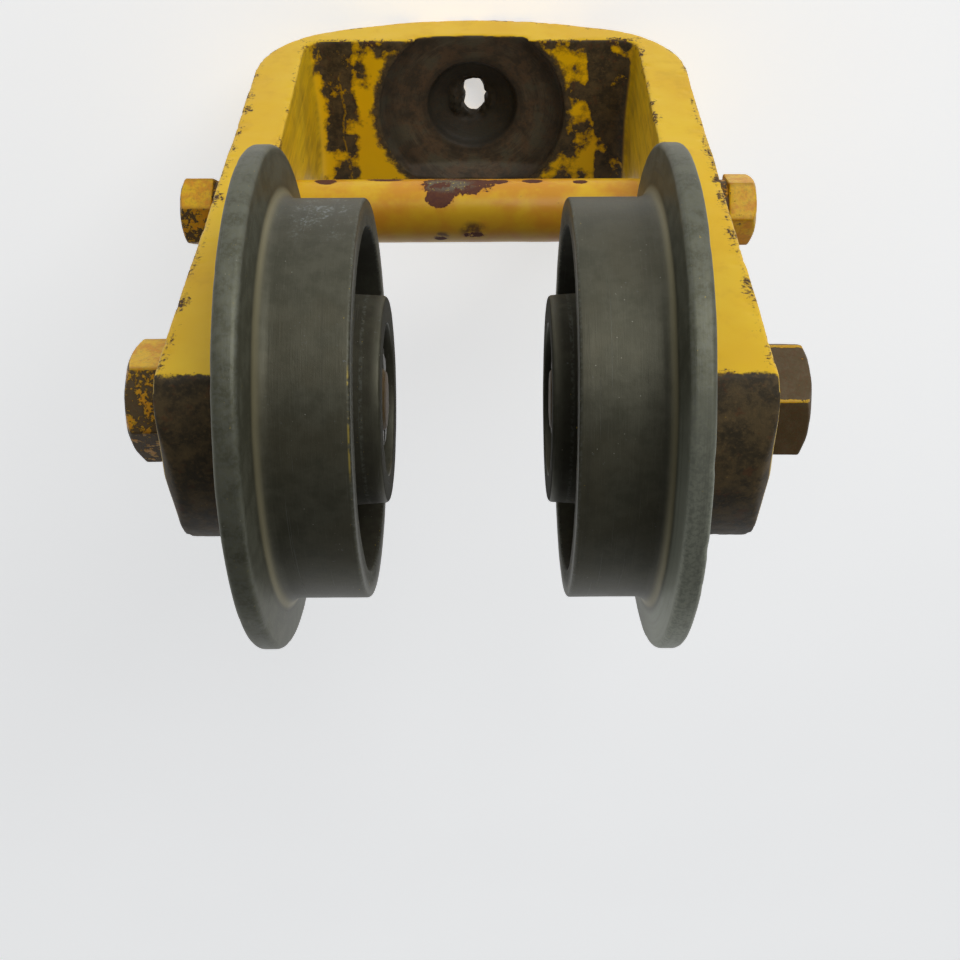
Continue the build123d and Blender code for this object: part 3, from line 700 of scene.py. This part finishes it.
def push_out(mesh, distance_at):
    """Moves every vertex along its normal by distance_at(index, place), in millimetres.

    No vertex leaves the CAD model's box.
    """
    count = len(mesh.vertices)
    places, normals = np.zeros(count * 3), np.zeros(count * 3)
    mesh.vertices.foreach_get("co", places)
    mesh.vertex_normals.foreach_get("vector", normals)
    places, normals = places.reshape(-1, 3), normals.reshape(-1, 3)
    far = np.array([distance_at(index, Vector(place)) for index, place in enumerate(places / MM)])
    places = np.clip(places + normals * far[:, None] * MM, *map(np.array, cad_box))
    mesh.vertices.foreach_set("co", places.ravel())
    mesh.update()


def roughen(mesh, strength, features, seed):
    """Unevenness by smooth noise. strength is in millimetres, features per millimetre."""
    start = Vector((seed, seed * 2.0, -seed))
    push_out(mesh, lambda index, place: strength * noise.fractal(place * features + start, 1.0, 2.0, 3))


def hexagon(across_flats, turn, corner_radius):
    """A hexagon's outline with rounded corners, as points in the Y Z plane."""
    corners = []
    for index in range(6):
        angle = radians(turn + 30 + 60 * index)
        reach = across_flats / sqrt(3)
        corners.append((reach * cos(angle), reach * sin(angle), corner_radius))
    return divided(rounded(corners, 6), across_flats / 16)


HEX_CORNER_RADIUS = 0.8
HEX_FACE_SHARE = 0.94        # the round face's share of the width across the flats
HEX_CHAMFER = tan(radians(30))
HEX_DISH = 0.35              # how far the middle of a head's face is sunk
TIP_RADIUS = 0.02            # of a ring that is closed by one face


def hex_head(shape, across_flats, base_x, top_x, turn, centre_z, hole=0.0):
    """A hexagonal head from base_x to top_x, its corners turned off in arcs, or a nut with a hole."""
    outline = hexagon(across_flats, turn, HEX_CORNER_RADIUS)
    outward = 1 if top_x > base_x else -1
    face_radius = across_flats / 2 * HEX_FACE_SHARE

    def ring(radius_of, x_of):
        made = []
        for point in outline:
            reach = point.length
            radius = radius_of(reach)
            made.append(shape.verts.new((x_of(reach) * MM, point.x / reach * radius * MM,
                                         (centre_z + point.y / reach * radius) * MM)))
        return made

    def side_top(reach):
        return top_x - outward * max(0.0, reach - face_radius) * HEX_CHAMFER

    # The foot's edge is broken, the sides are divided, and the top's edge is rounded off.
    height = abs(top_x - base_x)
    rings = [ring(lambda r: hole or TIP_RADIUS, lambda r: base_x),
             ring(lambda r: r - 0.5, lambda r: base_x),
             ring(lambda r: r - 0.12, lambda r: base_x + outward * 0.10),
             ring(lambda r: r, lambda r: base_x + outward * 0.45)]
    for share in (0.25, 0.5, 0.75):
        rings.append(ring(lambda r: r, lambda r: base_x + outward * height * share * 0.86))
    rings += [ring(lambda r: r, lambda r: side_top(r) - outward * 0.45),
              ring(lambda r: r - 0.10, lambda r: side_top(r) - outward * 0.10),
              ring(lambda r: r - 0.40, lambda r: side_top(r - 0.40) - outward * 0.03),
              ring(lambda r: face_radius - 0.1, lambda r: top_x - outward * 0.02),
              ring(lambda r: face_radius - 0.8, lambda r: top_x)]
    if hole:
        rings.append(ring(lambda r: hole + 1.0, lambda r: top_x))
        rings.append(ring(lambda r: hole, lambda r: top_x - outward * 0.8))
    else:
        rings.append(ring(lambda r: face_radius - 2.6, lambda r: top_x - outward * HEX_DISH))
        rings.append(ring(lambda r: TIP_RADIUS, lambda r: top_x - outward * HEX_DISH))
    for low, high in zip(rings, rings[1:]):
        bridge(shape, low, high)
    if hole:
        bridge(shape, rings[-1], rings[0])
    else:
        shape.faces.new(rings[0])
        shape.faces.new(rings[-1])


CORNER_FADE = 1.7            # distance in which the corners' share falls to 0


def mark_corners(mesh, across_flats, turn, centre_z):
    """Stores how near each vertex is to one of the hexagon's six long edges: 1 on it, then less."""
    layer = mesh.attributes.new("corner", "FLOAT", "POINT")
    for vertex in mesh.vertices:
        across, up = vertex.co.y / MM, vertex.co.z / MM - centre_z
        from_corner = (atan2(up, across) - radians(turn)) % (pi / 3) - pi / 6
        reach = hypot(across, up)
        away = hypot(reach * sin(from_corner), max(0.0, across_flats / 2 - reach))
        layer.data[vertex.index].value = max(0.0, 1.0 - away / CORNER_FADE)


def add_turned(shape, points, centre_z, segments=64):
    """Adds a closed solid of revolution, from (x, radius) points that start and end on the axis."""
    rings = []
    for x, radius in points[1:-1]:
        ring = []
        for step in range(segments):
            angle = 2 * pi * step / segments
            ring.append(shape.verts.new((x * MM, radius * sin(angle) * MM,
                                         (centre_z + radius * cos(angle)) * MM)))
        rings.append(ring)
    for low, high in zip(rings, rings[1:]):
        bridge(shape, low, high)
    for ring, x in ((rings[0], points[0][0]), (rings[-1], points[-1][0])):
        tip = shape.verts.new((x * MM, 0, centre_z * MM))
        for step in range(segments):
            shape.faces.new((ring[step], ring[(step + 1) % segments], tip))


def add_hex_piece(name, shape, across_flats, turn, centre_z, stands_for, slot, material, **uneven):
    """Makes a piece of the head from a shape with one hexagon in it."""
    mesh = mesh_from(name, shape)
    mark_corners(mesh, across_flats, turn, centre_z)
    roughen(mesh, **uneven)
    add_piece(name, mesh, "head", stands_for, material)


def thread_points(start, end, radius, pitch=1.8, depth=0.75):
    """The side of a threaded end, as (x, radius) points with one groove per pitch."""
    step = pitch if end > start else -pitch
    points = [(start, radius)]
    for index in range(int(abs(end - start) / pitch)):
        x = start + step * index
        points += [(x + step * 0.1, radius), (x + step * 0.45, radius - depth),
                   (x + step * 0.55, radius - depth), (x + step * 0.9, radius)]
    points += [(end - step * 0.5, radius), (end, radius - 0.9)]
    return points


# --- Yoke -------------------------------------------------------------------------------
YOKE_VOXEL = 0.75
SEAT_LOW_Z = 8.5             # the seat's edge fill starts above this
EDGE_FILL_Y = 20.8
EDGE_FILL_SLOPE = 0.95
EDGE_FILL_MOST = 3.9
ARM_START_Z = 42.0           # the outer wall is straight above this, and curved below
EDGE_FULL = 1.3              # an edge's share is this at the edge, held to 1 at most,
EDGE_FADE = 3.2              # and falls by 1 in this distance
HOLE_TOP_Z = 5.5
HOLE_REACH = 8.0
HOLE_SCALE = (3.2, 0.8)      # scale in the hole, on its +X and its -X side
HOLE_WEAR = 0.9              # and what has worn off along Y
KNOCK_DEPTH = 0.45
KNOCK_START = 0.18
FORGED_UNEVENNESS = 0.16


def rebuilt_yoke():
    """The forging: the CAD solid remeshed finely, so that its edges are round and can be knocked."""
    shape = bmesh.new()
    shape.from_mesh(nodes["yoke"].data)
    bmesh.ops.remove_doubles(shape, verts=shape.verts, dist=1e-6)
    mesh = bpy.data.meshes.new("yoke_forging")
    shape.to_mesh(mesh)
    shape.free()
    work = bpy.data.objects.new("yoke_work", mesh)
    scene.collection.objects.link(work)
    remesh = work.modifiers.new("remesh", "REMESH")
    remesh.mode = "VOXEL"
    remesh.voxel_size = YOKE_VOXEL * MM
    soften = work.modifiers.new("soften", "SMOOTH")
    soften.factor = 0.5
    soften.iterations = 5
    bpy.context.view_layer.update()
    graph = bpy.context.evaluated_depsgraph_get()
    fine = bpy.data.meshes.new_from_object(work.evaluated_get(graph))
    fine.name = "yoke_forging"
    bpy.data.objects.remove(work)
    for face in fine.polygons:
        face.use_smooth = True
    wear_yoke(fine)
    return fine


def fill_seat_edge(x, y, z):
    """Raises z where the seat runs out at the crown's +Y edge, up to the crown's inner face."""
    inside = np.clip(SEAT_RADIUS + 0.8 - np.hypot(x, y), 0, 1) * np.clip((z - SEAT_LOW_Z) / 4, 0, 1)
    lift = np.clip(EDGE_FILL_SLOPE * (y - EDGE_FILL_Y), 0, EDGE_FILL_MOST) * inside
    z += np.minimum(lift, np.clip(CROWN_INNER_Z - np.abs(y) * DRAFT - z, 0, None))


def edge_share(x, y, z):
    """How near each place is to a sharp edge of the forging: 1 on it, and 0 from about 4 mm away."""
    draft = np.abs(y) * DRAFT
    from_side = np.abs(HALF_BAND - np.abs(y))
    from_inner = np.abs(np.minimum(ARM_INNER_X + draft - np.abs(x), z - CROWN_INNER_Z + draft))
    arm = np.abs(ARM_OUTER_X - draft + (z - ARM_MIDDLE_Z) * ARM_SPLAY - np.abs(x))
    bow = np.abs(np.hypot(x, z - BOW_CENTRE_Z) - (CROWN_RADIUS - draft))
    corner_x = ARM_OUTER_X - CORNER_RADIUS - draft
    corner = np.abs(np.hypot(np.abs(x) - corner_x, z - CORNER_CENTRE_Z) - (CORNER_RADIUS - 0.5))
    corner = np.where(np.abs(x) > corner_x, corner, bow)
    from_outer = np.where(z > ARM_START_Z, arm, np.minimum(bow, corner))
    from_end = np.abs(z - BARE_END_Z - 0.6)
    nearest = np.minimum(np.minimum(from_inner, from_outer), from_end) + from_side
    return np.clip(EDGE_FULL - nearest / EDGE_FADE, 0, 1)


def hole_growth(place):
    """Scale and wear that leave the crown's hole ragged, and longer along Y than across."""
    across = (place.x / hypot(place.x, place.y)) ** 2
    scale = HOLE_SCALE[0] if place.x > 0 else HOLE_SCALE[1]
    return scale * across - HOLE_WEAR * (1.0 - across) + noise.noise(place * 0.45)


def wear_yoke(mesh):
    """Stores how near each vertex is to a sharp edge, and knocks those edges about."""
    count = len(mesh.vertices)
    places = np.zeros(count * 3)
    mesh.vertices.foreach_get("co", places)
    places = places.reshape(-1, 3) / MM
    fill_seat_edge(*places.T)
    mesh.vertices.foreach_set("co", (places * MM).ravel())
    mesh.update()
    rim = edge_share(*places.T)
    layer = mesh.attributes.new("rim", "FLOAT", "POINT")
    layer.data.foreach_set("value", rim.astype(np.float32))

    def distance_at(index, place):
        if place.z < HOLE_TOP_Z and hypot(place.x, place.y) < HOLE_REACH:
            return hole_growth(place)
        knock = noise.noise(place * 0.33 + Vector((7.0, 3.0, 1.0)))
        uneven = FORGED_UNEVENNESS * noise.fractal(place * 0.06, 1.0, 2.0, 3)
        return uneven - KNOCK_DEPTH * rim[index] * max(0.0, knock - KNOCK_START)

    push_out(mesh, distance_at)


add_piece("yoke_forging", rebuilt_yoke(), "head", "yoke", yoke_material())


# --- Wheels -----------------------------------------------------------------------------
NICK_DEPTH = 0.5
NICK_START = 0.30


def wheel_points():
    """The wheel's outline, right-hand side, with its edges broken and its corners filled."""
    (recess_in, recess_in_foot), (recess_out_foot, recess_out) = RECESS_RADII
    groove_start, groove_end = SNAP_GROOVE_X
    corners = [
        (HUB_FACE_X, BEARING_RADIUS, 0.5), (HUB_FACE_X, HUB_RADII[0], 0.9),
        (POCKET_FLOOR_X, HUB_RADII[1], 3.2), (POCKET_FLOOR_X, RIM_RADII[1], 3.2),
        (TREAD_INNER_X, RIM_RADII[0], 0.6), (TREAD_INNER_X, TREAD_RADIUS, 0.8),
        (TREAD_OUTER_X, TREAD_RADIUS, 3.2), (FLANGE_INNER_X, FLANGE_RADIUS, 1.5),
        (FLANGE_FACE_X, FLANGE_RADIUS, 1.5), (FLANGE_FACE_X, recess_out, 0.8),
        (RECESS_X, recess_out_foot, 1.5), (RECESS_X, recess_in_foot, 1.0),
        (FLANGE_FACE_X, recess_in, 0.6), (FLANGE_FACE_X, LIP_RADIUS, 0.5), (LIP_X, LIP_RADIUS, 0.2),
        (LIP_X, BEARING_RADIUS, 0.0), (groove_end, BEARING_RADIUS, 0.0),
        (groove_end, SNAP_GROOVE_RADIUS, 0.0), (groove_start, SNAP_GROOVE_RADIUS, 0.0),
        (groove_start, BEARING_RADIUS, 0.3),
    ]
    return divided(rounded(corners), 1.6)


def build_wheel(side, sign, material):
    name = f"{side}_wheel_turned"
    points = [(sign * point.x, point.y) for point in wheel_points()]
    mesh = lathe(name, points, AXLE_Z, 288)
    roughen(mesh, strength=0.10, features=0.05, seed=3.0 + sign)

    def nick_at(index, place):
        if hypot(place.y, place.z - AXLE_Z) < FLANGE_RADIUS - 1.6:
            return 0.0
        knock = noise.noise(place * 0.16 + Vector((sign * 9.0, 0, 4.0)))
        return -NICK_DEPTH * max(0.0, knock - NICK_START)

    push_out(mesh, nick_at)
    add_piece(name, mesh, f"{side}_wheel_set", f"{side}_wheel", material)


wheel_steel = wheel_material()
for wheel_side, wheel_sign in (("left", -1), ("right", 1)):
    build_wheel(wheel_side, wheel_sign, wheel_steel)


# --- Spacer tube ------------------------------------------------------------------------
TUBE_BORE_RADIUS = 6.9
tube_corners = [(-TUBE_HALF, TUBE_BORE_RADIUS, 0.3), (-TUBE_HALF, TUBE_RADIUS, 0.5),
                (TUBE_HALF, TUBE_RADIUS, 0.5), (TUBE_HALF, TUBE_BORE_RADIUS, 0.3)]
tube_outline = divided(rounded(tube_corners), 1.5)
tube_mesh = lathe("spacer_sleeve", [tuple(point) for point in tube_outline], CROSS_Z, 96)
roughen(tube_mesh, strength=0.10, features=0.09, seed=5.0)
add_piece("spacer_sleeve", tube_mesh, "head", "spacer_tube", tube_material())


# --- Cross bolt and nut -----------------------------------------------------------------
SEAT_X = 77.2                # face of a lock washer, which the head or the nut is tightened on
CROSS_HEAD = 8.4
CROSS_NUT = 9.7
CROSS_FLATS = 19.05
CROSS_RADIUS = 6.35
CROSS_HEAD_TURN = 15.0
CROSS_NUT_TURN = 35.5
CROSS_BOLT_SHORT = 0.4       # from the bolt's end to the nut's outer face

head_shape = bmesh.new()
hex_head(head_shape, CROSS_FLATS, -SEAT_X, -SEAT_X - CROSS_HEAD, CROSS_HEAD_TURN, CROSS_Z)
bolt_end = SEAT_X + CROSS_NUT - CROSS_BOLT_SHORT
add_turned(head_shape, [(-SEAT_X, 0), (-SEAT_X + 0.01, CROSS_RADIUS), (SEAT_X - 2, CROSS_RADIUS),
                        *thread_points(SEAT_X - 1.9, bolt_end, CROSS_RADIUS), (bolt_end, 0)], CROSS_Z)
add_hex_piece("cross_bolt_hex", head_shape, CROSS_FLATS, CROSS_HEAD_TURN, CROSS_Z,
              "cross_bolt", "fastener_paint",
              bolt_material("cross_bolt_paint", overspray=0.50, rust_share=0.5, painted=0.80),
              strength=0.10, features=0.25, seed=2.0)

nut_shape = bmesh.new()
hex_head(nut_shape, CROSS_FLATS, SEAT_X, SEAT_X + CROSS_NUT, CROSS_NUT_TURN, CROSS_Z,
         hole=CROSS_RADIUS + 0.05)
add_hex_piece("cross_nut_hex", nut_shape, CROSS_FLATS, CROSS_NUT_TURN, CROSS_Z,
              "cross_nut", "fastener_paint",
              bolt_material("cross_nut_paint", overspray=0.75, rust_share=0.6, painted=0.50),
              strength=0.10, features=0.25, seed=6.0)

# --- Axle bolts -------------------------------------------------------------------------
ARM_FACE_X = 71.4
AXLE_HEAD = 11.7
AXLE_FLATS = 27.0
AXLE_RADIUS = 8.5
AXLE_THREAD_RADIUS = 7.9
AXLE_END_X = 20.6
AXLE_THREAD_X = 31.5         # where the shank ends and the thread starts
AXLE_HEAD_TURN = {"right": 9.7, "left": 36.3}


def build_axle_bolt(side, sign, material):
    shape = bmesh.new()
    turn = AXLE_HEAD_TURN[side]
    hex_head(shape, AXLE_FLATS, sign * ARM_FACE_X, sign * (ARM_FACE_X + AXLE_HEAD), turn, AXLE_Z)
    thread = thread_points(AXLE_THREAD_X - 0.1, AXLE_END_X, AXLE_THREAD_RADIUS)
    points = [(ARM_FACE_X, 0), (ARM_FACE_X - 0.01, AXLE_RADIUS), (AXLE_THREAD_X, AXLE_RADIUS),
              *thread, (AXLE_END_X, 0)]
    add_turned(shape, [(sign * x, radius) for x, radius in points], AXLE_Z)
    add_hex_piece(f"{side}_axle_bolt_hex", shape, AXLE_FLATS, turn, AXLE_Z, f"{side}_axle_bolt",
                  "bolt_steel", material, strength=0.12, features=0.2, seed=8.0 + sign)


build_axle_bolt("right", 1, bolt_material("right_axle_bolt_paint", overspray=1.1, rust_share=0.3,
                                          painted=0.42))
build_axle_bolt("left", -1, bolt_material("left_axle_bolt_steel", overspray=0.15, rust_share=0.3,
                                          painted=0.0, edge_paint=0.90))


# --- CAD nodes that are shown as they are -----------------------------------------------
plated = steel_material("plated_hardware", *PLATED_TONES, roughness=0.42)
race = steel_material("bearing_steel", *RACE_TONES, roughness=0.28, metallic=0.9, grease=0.4)
shield = steel_material("bearing_shield", *SHIELD_TONES, roughness=0.40, metallic=0.7, grease=0.8)
brass = steel_material("cage_brass", *BRASS_TONES, roughness=0.35, metallic=0.9, grease=0.3)
washer_paint = bolt_material("lock_washer_paint", overspray=0.10, rust_share=0.7, painted=0.30)

wheel_looks = {"axle_nut": plated, "nut_washer": plated, "cotter_pin": plated,
               "thrust_washer": plated, "snap_ring": shield, "bearing_shields": shield,
               "inner_race": race, "outer_race": race, "bearing_balls": race, "ball_cage": brass}
looks = {"cross_lock_washers": washer_paint}
for part, material in wheel_looks.items():
    looks[f"left_{part}"] = looks[f"right_{part}"] = material
for name, material in looks.items():
    node = nodes[name]
    node.data.materials.clear()
    node.data.materials.append(material)
    if not name.endswith(("balls", "cage", "race")):
        edges = node.modifiers.new("broken_edges", "BEVEL")
        edges.width = 0.2 * MM
        edges.segments = 2
        edges.limit_method = "ANGLE"
        edges.angle_limit = radians(40)


# --- Floor, light and camera ------------------------------------------------------------
FLOOR_SIZE = 60.0            # metres, so that the floor's edge looks like a horizon
FLOOR_DROP = 0.4 * MM        # keeps the floor clear of the crown's underside
FLOOR_GLOW = 0.53            # the light that a white room would bounce onto the floor
FLOOR_TONES = (0.84, 0.845, 0.85), (0.87, 0.875, 0.88)

# Light from the world: two heights of the direction it comes from, 1 being straight up, and
# the strength at each.
WIDE_GLOW = (0.05, 0.60, 0.42, 0.12)
HORIZON_GLOW = (0.03, 0.24, 0.34, 0.0)

# Fitted to the photograph: place in millimetres, angles in degrees, lens for a 36 mm sensor.
CAMERA_PLACE = Vector((-4.49, -195.44, 405.79)) * MM
CAMERA_PITCH = 43.554
CAMERA_YAW = -0.411
CAMERA_ROLL = -0.484
CAMERA_LENS = 45.37
CAMERA_SENSOR = 36.0


def make_floor():
    bpy.ops.mesh.primitive_plane_add(size=FLOOR_SIZE, location=(0, 0, -FLOOR_DROP))
    floor = bpy.context.object
    floor.name = "floor"
    p = Paint("floor_white", 0.6)
    p.shader.inputs["Emission Strength"].default_value = FLOOR_GLOW
    p.shader.inputs["Emission Color"].default_value = (0.98, 0.99, 1.0, 1.0)
    tone = p.mix(p.rise(p.noise(0.004, 3), 0.35, 0.65), *FLOOR_TONES)
    floor.data.materials.append(p.finish(tone))


def make_softbox(name, place, target, width, height, power, colour=(1.0, 1.0, 1.0)):
    light = bpy.data.lights.new(name, "AREA")
    light.shape = "RECTANGLE"
    light.size = width
    light.size_y = height
    light.energy = power
    light.color = colour
    lamp = bpy.data.objects.new(name, light)
    scene.collection.objects.link(lamp)
    lamp.location = place
    lamp.rotation_mode = "QUATERNION"
    lamp.rotation_quaternion = (Vector(target) - Vector(place)).to_track_quat("-Z", "Y")


def make_world():
    world = bpy.data.worlds.new("studio")
    world.use_nodes = True
    tree = world.node_tree
    background = tree.nodes["Background"]
    direction = tree.nodes.new("ShaderNodeTexCoord").outputs["Generated"]
    height = tree.nodes.new("ShaderNodeSeparateXYZ")
    tree.links.new(direction, height.inputs[0])

    sky = tree.nodes.new("ShaderNodeMath")
    for share, glow in zip(sky.inputs, (WIDE_GLOW, HORIZON_GLOW)):
        made = tree.nodes.new("ShaderNodeMapRange")
        made.interpolation_type = "SMOOTHSTEP"
        for socket, number in zip(made.inputs[1:5], glow):
            socket.default_value = number
        tree.links.new(height.outputs[2], made.inputs["Value"])
        tree.links.new(made.outputs[0], share)
    tree.links.new(sky.outputs[0], background.inputs["Strength"])
    background.inputs["Color"].default_value = (0.97, 0.985, 1.0, 1.0)
    scene.world = world


def make_camera():
    """The viewer looks down at the wheels from the -Y side, with the crown at the top of the view."""
    roll = Matrix.Rotation(radians(CAMERA_ROLL), 3, "Z")
    pitch = Matrix.Rotation(radians(CAMERA_PITCH), 3, "X")
    yaw = Matrix.Rotation(radians(CAMERA_YAW), 3, "Y")
    turn = roll @ pitch @ Matrix.Diagonal((1, -1, -1)) @ yaw @ Matrix.Diagonal((-1, -1, 1))
    camera = bpy.data.objects.new("camera", bpy.data.cameras.new("camera"))
    scene.collection.objects.link(camera)
    camera.data.sensor_width = CAMERA_SENSOR
    camera.data.lens = CAMERA_LENS
    camera.data.clip_start = 0.02
    camera.data.clip_end = 50.0
    facing = (Matrix.Diagonal((1, -1, -1)) @ turn).transposed()
    camera.matrix_world = Matrix.Translation(CAMERA_PLACE) @ facing.to_4x4()
    scene.camera = camera


make_floor()
make_world()
make_softbox("key", place=(-0.50, -1.12, 0.66), target=(0, 0, 0.06), width=1.0, height=0.7, power=9.6)
make_softbox("back", place=(0.0, 1.3, 0.55), target=(0, 0, 0.12), width=1.6, height=0.6, power=1.2,
             colour=(0.95, 0.98, 1.0))
make_camera()
